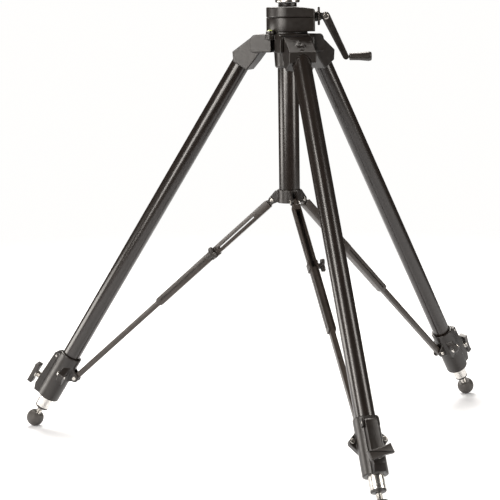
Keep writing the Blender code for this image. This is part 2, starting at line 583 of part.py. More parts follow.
def make_lower_leg(number, leg, paint):
    """The sliding inner tube, its threaded foot spindle and the rubber ball foot."""
    lower = joint_frame("lower_leg_axis_%d" % number, leg, Matrix.Translation((LEG_OFFSET, 0, 0)))
    tube_end = -CLAMP_END - INNER_TUBE_SHOWN
    inner = INNER_TUBE_R - INNER_TUBE_WALL
    part("lower_tube_%d" % number, lower, paint["bright_aluminium"],
         pipe(INNER_TUBE_R, inner, tube_end, -INNER_TUBE_TOP))
    spindle_r = 5 * MM
    plug_r = inner - GAP
    part("foot_spindle_%d" % number, lower, paint["bright_steel"], turned([
        (0, -BALL_DROP + 1 * MM), (1.5 * MM, -BALL_DROP + 1 * MM), (spindle_r, -BALL_DROP + 6 * MM),
        (spindle_r, tube_end - 6 * MM), (INNER_TUBE_R - 0.6 * MM, tube_end - 6 * MM),
        (INNER_TUBE_R, tube_end - 5.4 * MM), (INNER_TUBE_R, tube_end - GAP), (plug_r, tube_end - GAP),
        (plug_r, tube_end + 24 * MM), (0, tube_end + 24 * MM)], SIDES))
    foot = joint_frame("foot_axis_%d" % number, lower, Matrix.Translation((0, 0, -BALL_DROP)))
    flat = 12.5 * MM
    rim = math.degrees(math.asin(flat / BALL_R))
    profile = [(0, -BALL_R)] + arc((0, 0), BALL_R, -68, rim, 6)
    profile += [(spindle_r + 0.6 * MM, flat), (spindle_r + 0.6 * MM, 4 * MM), (0, -1 * MM)]
    part("foot_ball_%d" % number, foot, paint["grey_rubber"], turned(profile, 16))


# ---------------------------------------------------------------- spreader struts
def strut_pitch():
    """The strut's angle below level, from the hub pin down to the leg pin."""
    drop = STRUT_PIN.copy()
    drop.rotate(Matrix.Rotation(-SPLAY, 3, "Y"))
    reach = Vector((HIP_R + drop.x - HUB_PIN_R, HUB_PIN_Z - HIP_Z - drop.z))
    return math.atan2(reach.y, reach.x), reach.length


def make_strut(number, arm, leg, paint):
    """Slotted channel on the hub, its lock knob, and the inner bar that hangs from the leg."""
    pitch, span = strut_pitch()
    matrix = Matrix.Translation((HUB_PIN_R, 0, HUB_PIN_Z)) @ Matrix.Rotation(pitch, 4, "Y")
    channel = joint_frame("strut_axis_%d" % number, arm, matrix)
    half_w, half_h = STRUT_WIDTH / 2, STRUT_HEIGHT / 2
    start = 9 * MM
    inner_w = half_w - STRUT_WALL
    side = [(start, -half_h), (CHANNEL_LENGTH - 4 * MM, -half_h), (CHANNEL_LENGTH, -half_h + 4 * MM),
            (CHANNEL_LENGTH, half_h - 4 * MM), (CHANNEL_LENGTH - 4 * MM, half_h), (start, half_h)]
    hollow = box((start + 14 * MM, -inner_w, -half_h + STRUT_WALL),
                 (CHANNEL_LENGTH + 9 * MM, inner_w, 20 * MM))
    tongue = arc((0, 0), 5.6 * MM, 90, 270, 8) + [(start + 4 * MM, -5.6 * MM), (start + 4 * MM, 5.6 * MM)]
    lock = box((STRUT_LOCK_AT - 8 * MM, -half_w - 1.8 * MM, -half_h - 1.6 * MM),
               (STRUT_LOCK_AT + 8 * MM, half_w + 1.8 * MM, half_h - 0.5 * MM))
    slots = []
    lock_low, lock_high = STRUT_LOCK_AT - 14 * MM, STRUT_LOCK_AT + 14 * MM
    for low, high in ((46 * MM, lock_low), (lock_high, CHANNEL_LENGTH - 9 * MM)):
        outline = arc((low, 0), 2.3 * MM, 90, 270, 4) + arc((high, 0), 2.3 * MM, -90, 90, 4)
        slots.append(prism(outline, -20 * MM, 20 * MM))
    stud_hole = along_y(rod(2.3 * MM, 0, 20 * MM), (STRUT_LOCK_AT, 0, 0))
    pin_hole = along_y(rod(2.8 * MM, -10 * MM, 10 * MM))
    part("strut_channel_%d" % number, channel, paint["strut_grey"], prism(side, -half_w, half_w),
         joined=[prism(tongue, -3 * MM, 3 * MM), lock], cut=[hollow, *slots, stud_hole, pin_hole])

    knob_place = Matrix.Translation((STRUT_LOCK_AT, 0, 0))
    knob_axis = joint_frame("strut_knob_axis_%d" % number, channel, knob_place)
    stem = along_y(turned([
        (0, inner_w + GAP), (2 * MM, inner_w + GAP), (2 * MM, half_w + 2.1 * MM),
        (4.6 * MM, half_w + 2.1 * MM), (4.6 * MM, half_w + 7 * MM), (0, half_w + 7 * MM)], 16))
    lobes = []
    steps = 24
    for k in range(steps):
        angle = 2 * math.pi * k / steps
        radius = (8.6 + 3.6 * math.cos(3 * angle)) * MM
        lobes.append((radius * math.cos(angle), radius * math.sin(angle)))
    part("strut_knob_%d" % number, knob_axis, paint["black_plastic"], stem,
         joined=[prism(lobes, half_w + 6 * MM, half_w + 13 * MM)])

    bar_matrix = Matrix.Translation(STRUT_PIN) @ Matrix.Rotation(SPLAY + pitch, 4, "Y")
    bar_axis = joint_frame("strut_bar_axis_%d" % number, leg, bar_matrix)
    bar_start = STRUT_LOCK_AT + 5 * MM - span
    bar_w = inner_w - GAP
    half_bar = BAR_HEIGHT / 2
    outline = [(bar_start, half_bar), (bar_start, -half_bar), (-6 * MM, -half_bar)]
    outline += arc((0, 0), 5.6 * MM, -80, 80, 8) + [(-6 * MM, half_bar)]
    part("strut_bar_%d" % number, bar_axis, paint["strut_grey"], prism(outline, -bar_w, bar_w),
         cut=[along_y(rod(3 * MM, -10 * MM, 10 * MM))])


def make_leg(number, azimuth, knob_turn, paint):
    """One leg with its strut: everything that hangs from one hip pin."""
    arm = joint_frame("arm_%d" % number, matrix=arm_turn(azimuth))
    hip = Matrix.Translation((HIP_R, 0, HIP_Z)) @ Matrix.Rotation(-SPLAY, 4, "Y")
    leg = joint_frame("leg_axis_%d" % number, arm, hip)
    make_leg_top(number, leg, paint)
    make_leg_clamp(number, leg, paint)
    make_clamp_knob(number, leg, paint, knob_turn)
    make_lower_leg(number, leg, paint)
    make_strut(number, arm, leg, paint)


def main():
    for old in list(bpy.data.objects):
        bpy.data.objects.remove(old, do_unlink=True)
    paint = make_materials()
    make_crown(paint)
    make_guide_tube(paint)
    make_spreader_hub(paint)
    head = joint_frame("head", matrix=Matrix.Rotation(HEAD_TURN, 4, "Z"))
    make_gear_housing(head, paint)
    make_column(head, paint)
    make_crank(head, paint)
    knob_turns = (105, 8, -6)
    for number, (azimuth, turn) in enumerate(zip(LEG_AZIMUTHS, knob_turns), 1):
        make_leg(number, azimuth, turn, paint)


main()
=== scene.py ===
import json
import math

import bmesh
import bpy
from mathutils import Matrix, Vector


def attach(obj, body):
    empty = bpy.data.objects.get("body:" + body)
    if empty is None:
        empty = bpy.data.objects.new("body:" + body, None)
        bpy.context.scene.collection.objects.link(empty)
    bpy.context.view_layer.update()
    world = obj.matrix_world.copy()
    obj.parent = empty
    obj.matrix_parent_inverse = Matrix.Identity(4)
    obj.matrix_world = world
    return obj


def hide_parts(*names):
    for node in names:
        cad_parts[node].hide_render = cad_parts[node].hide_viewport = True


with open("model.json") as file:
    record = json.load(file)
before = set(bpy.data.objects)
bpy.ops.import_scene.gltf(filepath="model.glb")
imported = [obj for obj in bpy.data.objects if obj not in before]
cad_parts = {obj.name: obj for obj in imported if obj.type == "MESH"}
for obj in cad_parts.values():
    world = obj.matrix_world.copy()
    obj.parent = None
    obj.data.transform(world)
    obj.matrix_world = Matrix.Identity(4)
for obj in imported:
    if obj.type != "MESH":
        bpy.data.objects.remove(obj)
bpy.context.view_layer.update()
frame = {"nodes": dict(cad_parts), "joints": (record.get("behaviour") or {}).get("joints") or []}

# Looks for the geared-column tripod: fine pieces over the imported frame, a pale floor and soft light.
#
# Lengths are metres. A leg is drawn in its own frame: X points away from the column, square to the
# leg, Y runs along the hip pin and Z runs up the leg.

MM = 0.001
JOINTS = {joint["name"]: joint for joint in frame["joints"]}
LEGS = (1, 2, 3)
UP = Vector((0, 0, 1))
GAP = 0.3 * MM

# Leg sizes, in the leg's own frame
TUBE_X = 12 * MM
TUBE_R = 16 * MM
TUBE_WALL = 1.8 * MM
INNER_R = 12.5 * MM
YOKE_HALF = 23.7 * MM
YOKE_SOCKET = -30 * MM
YOKE_END = -50 * MM
CLAMP_TOP = -672 * MM
CLAMP_END = -764 * MM
TUBE_END = -712 * MM
KNOB_Z = -740 * MM
EAR_Z = CLAMP_TOP - 34 * MM
INNER_END = -786 * MM
INNER_TOP = -312 * MM
BALL_R = 16 * MM
JAW_HOLE_R = 3.1 * MM
HIP_HOLE_R = 4.2 * MM

# Head sizes
CROWN_TOP = 715 * MM
HOUSING_BOTTOM = 719 * MM
HOUSING_PARTING = 742.5 * MM
HOUSING_TOP = 760.5 * MM
HOUSING_R = 36.5 * MM
HOUSING_REACH = 46 * MM
GUIDE_R = 18 * MM
COLUMN_R = 14 * MM
LEVEL_REACH = 43.5 * MM

# Facets round a turned piece
ROUND = 72
SMALL_ROUND = 32


# ---------------------------------------------------------------- shapes
def mesh_from(verts, faces):
    """A closed mesh with its faces pointing out."""
    mesh = bpy.data.meshes.new("shape")
    mesh.from_pydata([tuple(v) for v in verts], [], faces)
    work = bmesh.new()
    work.from_mesh(mesh)
    bmesh.ops.recalc_face_normals(work, faces=work.faces)
    work.to_mesh(mesh)
    work.free()
    return mesh


def fillet(points, radius, steps=3):
    """Round the corners of a closed outline, leaving any that lie on the turning axis."""
    rounded = []
    count = len(points)
    for k in range(count):
        here = Vector(points[k])
        back = Vector(points[k - 1]) - here
        on = Vector(points[(k + 1) % count]) - here
        corner = back.angle(on)
        if here.x == 0 or corner > math.radians(168):
            rounded.append(tuple(here))
            continue
        reach = min(radius / math.tan(corner / 2), 0.42 * back.length, 0.42 * on.length)
        start = here + back.normalized() * reach
        end = here + on.normalized() * reach
        for i in range(steps + 1):
            t = i / steps
            rounded.append(tuple(start * (1 - t) ** 2 + here * 2 * t * (1 - t) + end * t ** 2))
    return rounded


def turned(profile, soft=0.4 * MM, sides=ROUND):
    """Turn (radius, height) points about Z, with the profile's corners rounded."""
    if soft:
        profile = fillet(profile, soft)
    verts, rows = [], []
    for radius, height in profile:
        if radius == 0:
            rows.append([len(verts)] * sides)
            verts.append((0, 0, height))
            continue
        rows.append(list(range(len(verts), len(verts) + sides)))
        for k in range(sides):
            angle = 2 * math.pi * k / sides
            verts.append((radius * math.cos(angle), radius * math.sin(angle), height))
    pairs = list(zip(rows, rows[1:]))
    if profile[0][0] > 0:
        pairs.append((rows[-1], rows[0]))
    faces = []
    for low, high in pairs:
        for k in range(sides):
            after = (k + 1) % sides
            face = tuple(dict.fromkeys((low[k], low[after], high[after], high[k])))
            if len(face) > 2:
                faces.append(face)
    return mesh_from(verts, faces)


def inset(outline, depth):
    """The outline moved inwards by depth all round."""
    count = len(outline)
    area = 0
    for k in range(count):
        (ax, ay), (bx, by) = outline[k - 1], outline[k]
        area += ax * by - bx * ay
    side = 1 if area > 0 else -1
    moved_in = []
    for k in range(count):
        here = Vector(outline[k])
        before = (here - Vector(outline[k - 1])).normalized()
        after = (Vector(outline[(k + 1) % count]) - here).normalized()
        normal = Vector((-before.y - after.y, before.x + after.x)) * side
        scale = max(0.5, (1 + before.dot(after)))
        moved_in.append(tuple(here + normal * (depth / scale)))
    return moved_in


def slab(outline, start, end, rim=0, axis="Y", steps=3):
    """Extrude an outline from start to end along an axis, with both rims rounded."""
    place = {
        "X": lambda a, b, c: (c, a, b),
        "Y": lambda a, b, c: (a, c, b),
        "Z": lambda a, b, c: (a, b, c),
    }[axis]
    rings = []
    for k in range(steps + 1 if rim else 1):
        angle = math.pi / 2 * k / steps
        rings.append((rim * (1 - math.sin(angle)), start + rim * (1 - math.cos(angle))))
    rings += [(depth, start + end - at) for depth, at in reversed(rings)]
    verts = []
    for depth, at in rings:
        verts += [place(a, b, at) for a, b in (inset(outline, depth) if depth else outline)]
    count = len(outline)
    last = len(verts) - count
    faces = [tuple(range(count)), tuple(range(last + count - 1, last - 1, -1))]
    for row in range(len(rings) - 1):
        low, high = row * count, (row + 1) * count
        for k in range(count):
            after = (k + 1) % count
            faces.append((low + k, low + after, high + after, high + k))
    return mesh_from(verts, faces)


def box(low, high, axis="Z"):
    corners = [(low[0], low[1]), (high[0], low[1]), (high[0], high[1]), (low[0], high[1])]
    return slab(corners, low[2], high[2], axis=axis)


def rod(radius, start, end, soft=0, sides=SMALL_ROUND):
    return turned([(0, start), (radius, start), (radius, end), (0, end)], soft, sides)


def pipe(outer, inner, start, end, soft=0.4 * MM):
    return turned([(outer, start), (outer, end), (inner, end), (inner, start)], soft)


def arc(centre, radius, first, last, steps):
    """Points on an arc, from one angle in degrees to another."""
    points = []
    for k in range(steps + 1):
        angle = math.radians(first + (last - first) * k / steps)
        points.append((centre[0] + radius * math.cos(angle), centre[1] + radius * math.sin(angle)))
    return points


def threads(radius, depth, pitch, start, end):
    """The (radius, height) points of a threaded length, crest by crest."""
    points = []
    count = max(1, round((end - start) / pitch))
    step = (end - start) / count
    for k in range(count):
        low = start + step * k
        points += [(radius - depth, low), (radius, low + step * 0.4), (radius, low + step * 0.6)]
    return points + [(radius - depth, end)]


def moved(mesh, offset=(0, 0, 0), turn=None):
    """The mesh turned, then shifted."""
    matrix = Matrix.Translation(Vector(offset))
    if turn is not None:
        matrix = matrix @ turn
    mesh.transform(matrix)
    return mesh


def along_x(mesh, offset=(0, 0, 0)):
    return moved(mesh, offset, Matrix.Rotation(math.pi / 2, 4, "Y"))


def along_y(mesh, offset=(0, 0, 0)):
    return moved(mesh, offset, Matrix.Rotation(-math.pi / 2, 4, "X"))


def evaluated(thing):
    """The object's mesh with its modifiers applied; the object is then removed."""
    graph = bpy.context.evaluated_depsgraph_get()
    mesh = bpy.data.meshes.new_from_object(thing.evaluated_get(graph))
    bpy.data.objects.remove(thing, do_unlink=True)
    return mesh


def combined(base, joined=(), cut=(), added=()):
    """The base with shapes joined to it, others cut from it and a last few added."""
    body = bpy.data.objects.new("shape", base)
    bpy.context.scene.collection.objects.link(body)
    tools = []
    for operation, meshes in (("UNION", joined), ("DIFFERENCE", cut), ("UNION", added)):
        for mesh in meshes:
            tool = bpy.data.objects.new("tool", mesh)
            bpy.context.scene.collection.objects.link(tool)
            tools.append(tool)
            modifier = body.modifiers.new(operation.title(), "BOOLEAN")
            modifier.operation = operation
            modifier.solver = "EXACT"
            modifier.object = tool
    mesh = evaluated(body)
    for tool in tools:
        bpy.data.objects.remove(tool, do_unlink=True)
    return mesh


def cast(mesh, grain=0.8 * MM, passes=6):
    """Soften a shape's edges and inside corners, as on a die casting."""
    body = bpy.data.objects.new("shape", mesh)
    bpy.context.scene.collection.objects.link(body)
    remesh = body.modifiers.new("Remesh", "REMESH")
    remesh.mode = "VOXEL"
    remesh.voxel_size = grain
    smooth = body.modifiers.new("Smooth", "SMOOTH")
    smooth.factor = 0.5
    smooth.iterations = passes
    return evaluated(body)


# ---------------------------------------------------------------- finishes
MOTTLE_SCALE = 45
SMEAR_SCALE = 130


def link(tree, output, socket):
    tree.links.new(output, socket)


def noise(tree, scale, detail=3):
    """A noise texture on the piece's own coordinates."""
    place = tree.nodes.new("ShaderNodeTexCoord")
    texture = tree.nodes.new("ShaderNodeTexNoise")
    texture.inputs["Scale"].default_value = scale
    texture.inputs["Detail"].default_value = detail
    link(tree, place.outputs["Object"], texture.inputs["Vector"])
    return texture.outputs["Fac"]


def between(tree, fac, low, high):
    """Map a noise value to a range, with the noise's middle stretched."""
    ramp = tree.nodes.new("ShaderNodeMapRange")
    ramp.inputs["From Min"].default_value = 0.3
    ramp.inputs["From Max"].default_value = 0.7
    ramp.inputs["To Min"].default_value = low
    ramp.inputs["To Max"].default_value = high
    link(tree, fac, ramp.inputs["Value"])
    return ramp.outputs["Result"]


def finish(name, colour, metallic, roughness, spread, grain, depth, worn=None, specular=0.5):
    """A surface with uneven roughness, slightly mottled colour and a fine bump.

    The roughness strays by spread to either side. Grain is the bump's noise scale and depth its height in mm.
    """
    material = bpy.data.materials.new(name)
    material.use_nodes = True
    tree = material.node_tree
    shader = tree.nodes["Principled BSDF"]
    shader.inputs["Metallic"].default_value = metallic
    shader.inputs["Specular IOR Level"].default_value = specular
    mix = tree.nodes.new("ShaderNodeMix")
    mix.data_type = "RGBA"
    mix.inputs["A"].default_value = (*colour, 1)
    mix.inputs["B"].default_value = (*(worn or [1.35 * c for c in colour]), 1)
    link(tree, between(tree, noise(tree, MOTTLE_SCALE), 0, 1), mix.inputs["Factor"])
    link(tree, mix.outputs["Result"], shader.inputs["Base Color"])
    uneven = between(tree, noise(tree, SMEAR_SCALE, 5), roughness - spread, roughness + spread)
    link(tree, uneven, shader.inputs["Roughness"])
    bump = tree.nodes.new("ShaderNodeBump")
    bump.inputs["Strength"].default_value = 0.5
    bump.inputs["Distance"].default_value = depth * MM
    link(tree, noise(tree, grain, 2), bump.inputs["Height"])
    link(tree, bump.outputs["Normal"], shader.inputs["Normal"])
    return material


def make_finishes():
    """Every slot's finish, by its name."""
    anodised = (0.0095, 0.0068, 0.0055)
    casting = (0.0085, 0.0064, 0.0052)
    strut = (0.026, 0.0205, 0.0172)
    plastic = (0.016, 0.0132, 0.0115)
    rubber = (0.040, 0.036, 0.033)
    aluminium = (0.66, 0.64, 0.61)
    aluminium_worn = (0.58, 0.56, 0.53)
    steel = (0.55, 0.53, 0.50)
    steel_worn = (0.46, 0.44, 0.41)
    green = (0.28, 0.33, 0.09)
    looks = {
        "black_anodised": (anodised, 0.0, 0.25, 0.006, 30, 0.002, None, 0.6),
        "cast_black": (casting, 0.0, 0.36, 0.05, 1100, 0.03),
        "strut_grey": (strut, 0.0, 0.32, 0.05, 1100, 0.02),
        "bright_aluminium": (aluminium, 1.0, 0.26, 0.05, 700, 0.002, aluminium_worn),
        "bright_steel": (steel, 1.0, 0.26, 0.06, 700, 0.002, steel_worn),
        "black_plastic": (plastic, 0.0, 0.36, 0.05, 1300, 0.03),
        "grey_rubber": (rubber, 0.0, 0.58, 0.06, 1000, 0.05, None, 0.4),
        "level_green": (green, 0.0, 0.12, 0.03, 600, 0.005),
    }
    return {name: finish(name, *look) for name, look in looks.items()}


FINISHES = make_finishes()


def piece(node, body, paint, mesh, matrix, stands_for=True):
    """Place a finished mesh, let it ride its body and hide the CAD node it stands for."""
    mesh.transform(matrix)
    mesh.materials.clear()
    mesh.materials.append(FINISHES[paint])
    made = bpy.data.objects.new("look_" + node, mesh)
    bpy.context.scene.collection.objects.link(made)
    mesh.shade_smooth()
    mesh.set_sharp_from_angle(angle=math.radians(34))
    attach(made, body)
    if stands_for:
        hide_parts(node)
    return made


# ---------------------------------------------------------------- frames, from the joints
def axes(x, y, z, origin):
    matrix = Matrix((x, y, z)).transposed().to_4x4()
    matrix.translation = origin
    return matrix


def joint_pos(name):
    return Vector(JOINTS[name]["pos_m"])


def joint_axis(name):
    return Vector(JOINTS[name]["axis"]).normalized()


def arm_frame(number):
    """At the floor under the column: X towards this leg, Z up."""
    side = joint_axis("leg_fold_%d" % number)
    return axes(side.cross(UP), side, UP, Vector())


def leg_frame(number):
    side = joint_axis("leg_fold_%d" % number)
    up = -joint_axis("leg_extend_%d" % number)
    return axes(side.cross(up), side, up, joint_pos("leg_fold_%d" % number))


def strut_frame(number):
    """At the hub pin, X along the strut."""
    start = joint_pos("strut_fold_%d" % number)
    along = (joint_pos("inner_strut_fold_%d" % number) - start).normalized()
    side = joint_axis("strut_fold_%d" % number)
    return axes(along, side, along.cross(side), start)


def head_frame():
    """On the column axis at the floor, X along the crank shaft."""
    along = joint_axis("crank_turn")
    return axes(along, UP.cross(along), UP, Vector())


# ---------------------------------------------------------------- centre
def make_crown():
    """The spider casting: a collar and three slotted arms with a flat top."""
    bore = GUIDE_R + GAP
    body = turned([
        (20.5 * MM, 657 * MM), (22.5 * MM, 660 * MM), (24 * MM, 684 * MM), (26 * MM, 687 * MM),
        (26 * MM, 708 * MM), (38 * MM, 711.5 * MM), (38 * MM, CROWN_TOP), (34 * MM, CROWN_TOP),
        (34 * MM, HOUSING_BOTTOM - GAP), (bore, HOUSING_BOTTOM - GAP), (bore, 657 * MM)])
    ear_outer = 59 * MM
    ear_bottom = 684 * MM
    corner = 10 * MM
    half = 30 * MM
    side = [(bore + 4 * MM, ear_bottom), (ear_outer - 4 * MM, ear_bottom)]
    side += arc((ear_outer - 4 * MM, ear_bottom + 4 * MM), 4 * MM, -60, 0, 4)
    side += arc((ear_outer - corner, CROWN_TOP - corner - GAP), corner, 0, 90, 10)
    side += [(bore + 4 * MM, CROWN_TOP - GAP)]
    slot = [(27 * MM, 600 * MM), (80 * MM, 600 * MM), (80 * MM, 740 * MM), (50 * MM, 740 * MM),
            (50 * MM, 711.6 * MM), (27 * MM, 711.6 * MM)]
    arms, cuts = [], []
    for number in LEGS:
        turn = arm_frame(number)
        arms.append(moved(slab(side, -half, half), turn=turn))
        cuts.append(moved(slab(slot, -YOKE_HALF - GAP, YOKE_HALF + GAP), turn=turn))
        pin_hole = along_y(rod(HIP_HOLE_R, -28.3 * MM, 28.3 * MM), (48 * MM, 0, 700 * MM))
        cuts.append(moved(pin_hole, turn=turn))
    level_at = Matrix.Rotation(math.radians(-150), 4, "Z")
    arms.append(moved(rod(8.5 * MM, 706 * MM, CROWN_TOP - 2 * GAP, sides=48), (LEVEL_REACH, 0, 0)))
    arms[-1].transform(level_at)
    web = box((30 * MM, -6 * MM, 707 * MM), (LEVEL_REACH, 6 * MM, CROWN_TOP - 3 * GAP))
    arms.append(moved(web, turn=level_at))
    mesh = cast(combined(body, joined=arms, cut=cuts), 0.8 * MM, 5)
    piece("crown_casting", "frame", "cast_black", mesh, Matrix())
    ring = turned([(5 * MM, CROWN_TOP), (6.8 * MM, CROWN_TOP), (6.8 * MM, CROWN_TOP + 5 * MM),
                   (5 * MM, CROWN_TOP + 6 * MM)], 0.4 * MM, 48)
    place = level_at @ Matrix.Translation((LEVEL_REACH, 0, 0))
    piece("bubble_ring", "frame", "black_plastic", ring, place, stands_for=False)
    vial = turned([
        (0, CROWN_TOP + 0.2 * MM), (4.8 * MM, CROWN_TOP + 0.2 * MM), (4.8 * MM, CROWN_TOP + 6 * MM),
        (3 * MM, CROWN_TOP + 7.4 * MM), (0, CROWN_TOP + 8 * MM)], 0.4 * MM, 48)
    piece("bubble_level", "frame", "level_green", vial, place)


def make_guide_tube():
    tube = pipe(GUIDE_R, GUIDE_R - TUBE_WALL, 431 * MM, CROWN_TOP + 3 * MM)
    piece("guide_tube", "frame", "black_anodised", tube, Matrix())


def headed_pin(radius, half_length):
    """A pin along Z with a domed head and a hexagon socket at one end."""
    head = 1.6 * MM
    pin = turned([
        (0, -half_length - head), (radius * 1.25, -half_length - head), (radius * 1.45, -half_length),
        (radius, -half_length), (radius, half_length), (radius * 1.45, half_length),
        (radius * 1.25, half_length + head), (0, half_length + head)], 0.3 * MM, SMALL_ROUND)
    sockets = [rod(radius * 0.6, -half_length - head - 1 * MM, -half_length - head + 1 * MM, sides=6),
               rod(radius * 0.6, half_length + head - 1 * MM, half_length + head + 1 * MM, sides=6)]
    return combined(pin, cut=sockets)


def make_spreader_hub():
    """The cup at the foot of the guide tube, with three forked lugs and their pins."""
    bottom = 424 * MM
    floor = 430.7 * MM
    top = 447 * MM
    bore = GUIDE_R + GAP
    wall = 2.7 * MM
    cup = turned([(bore + wall, bottom), (bore + wall, top), (bore, top), (bore, floor),
                  (14 * MM, floor), (14 * MM, bottom)], 0.8 * MM)
    pin_r = 30 * MM
    pin_z = 428 * MM
    lug_r = 6.8 * MM
    lug = [(bore + 1 * MM, bottom + 1 * MM), (pin_r - 1 * MM, pin_z - lug_r)]
    lug += arc((pin_r, pin_z), lug_r, -80, 50, 12)
    lug += [(bore + 6 * MM, top - 2 * MM), (bore + 1 * MM, top - 2 * MM)]
    lugs, cuts = [], []
    for number in LEGS:
        turn = arm_frame(number)
        lugs.append(moved(slab(lug, -6.6 * MM, 6.6 * MM, 0.6 * MM), turn=turn))
        fork = box((bore + wall + 0.4 * MM, -3.3 * MM, 400 * MM), (60 * MM, 3.3 * MM, 460 * MM))
        cuts.append(moved(fork, turn=turn))
        cuts.append(moved(along_y(rod(2.8 * MM, -9 * MM, 9 * MM), (pin_r, 0, pin_z)), turn=turn))
        pin = along_y(headed_pin(2.5 * MM, 6.9 * MM), (pin_r, 0, pin_z))
        piece("hub_pin_%d" % number, "frame", "bright_steel", pin, turn)
    hub = cast(combined(cup, joined=lugs, cut=cuts), 0.45 * MM, 4)
    piece("spreader_hub", "frame", "cast_black", hub, Matrix())


def make_gear_housing():
    """Two half shells and the bearing nut."""
    matrix = head_frame()
    shaft = joint_pos("crank_turn")
    shaft_y = (matrix.inverted() @ shaft).y
    outline = arc((0, 0), HOUSING_R, 90, 270, 48)
    outline += [(HOUSING_REACH, -HOUSING_R), (HOUSING_REACH, HOUSING_R)]
    outline = fillet(outline, 4 * MM, 5)
    column_bore = rod(COLUMN_R + 1.5 * GAP, 700 * MM, 780 * MM, sides=ROUND)
    shaft_bore = along_x(rod(4.3 * MM, -16.3 * MM, 60 * MM), (0, shaft_y, shaft.z))

    def bores():
        return [column_bore.copy(), shaft_bore.copy()]

    base = slab(outline, HOUSING_BOTTOM, HOUSING_PARTING - GAP / 2, 0.7 * MM, "Z")
    piece("gear_housing_base", "frame", "cast_black", combined(base, cut=bores()), matrix)
    cover = slab(outline, HOUSING_PARTING + GAP / 2, HOUSING_TOP, 1.6 * MM, "Z", 4)
    slope = slab([
        (14 * MM, HOUSING_TOP + 1 * MM), (14 * MM, HOUSING_TOP), (30 * MM, HOUSING_TOP - 1.5 * MM),
        (HOUSING_REACH - 2 * MM, HOUSING_TOP - 3.4 * MM), (HOUSING_REACH + 1 * MM, HOUSING_TOP - 7 * MM),
        (HOUSING_REACH + 1 * MM, HOUSING_TOP + 1 * MM)], -60 * MM, 60 * MM)
    shell = cast(combined(cover, cut=[slope] + bores()), 0.7 * MM, 5)
    piece("gear_housing_cover", "frame", "cast_black", shell, matrix)
    nut = turned([
        (4.3 * MM, 0), (9 * MM, 0), (9 * MM, 3.4 * MM), (8 * MM, 4.4 * MM), (4.3 * MM, 4.4 * MM)], 0.3 * MM)
    nut = along_x(nut, (HOUSING_REACH + GAP, shaft_y, shaft.z))
    piece("bearing_nut", "frame", "cast_black", nut, matrix)


def make_column():
    """Column tube with its rack slot, knurled collar, head plate and stud."""
    matrix = head_frame()
    slot = box((-3.3 * MM, -20 * MM, 482.2 * MM), (3.3 * MM, -5 * MM, HOUSING_TOP + 1 * MM))
    tube = combined(pipe(COLUMN_R, COLUMN_R - 2 * MM, 440 * MM, HOUSING_TOP), cut=[slot])
    piece("column_tube", "column", "black_anodised", tube, matrix)
    low = HOUSING_TOP + GAP
    high = HOUSING_TOP + 7 * MM
    crest = 15.9 * MM
    root = 15.3 * MM
    knurl = []
    teeth = 60
    for k in range(4 * teeth):
        radius = crest if k % 4 < 2 else root
        angle = 2 * math.pi * k / (4 * teeth)
        knurl.append((radius * math.cos(angle), radius * math.sin(angle)))
    collar = slab(knurl, low, high, 0.6 * MM, "Z", 2)
    piece("column_collar", "column", "cast_black", collar, matrix)
    plate_low = high + GAP
    plate_high = high + 6.3 * MM
    plate = turned([
        (5 * MM, plate_low), (19.5 * MM, plate_low), (21 * MM, plate_low + 1.5 * MM),
        (21 * MM, plate_high - 1 * MM), (20 * MM, plate_high), (5 * MM, plate_high)], 0.4 * MM, 96)
    piece("camera_plate", "column", "bright_aluminium", plate, matrix)
    stud = [(0, high + GAP), (4.6 * MM, high + GAP), (4.6 * MM, plate_high)]
    stud += threads(4.7 * MM, 0.7 * MM, 1.6 * MM, plate_high, plate_high + 9 * MM)
    stud += [(3.6 * MM, plate_high + 10 * MM), (0, plate_high + 10 * MM)]
    piece("camera_stud", "column", "bright_steel", turned(stud, 0.1 * MM, 48), matrix)


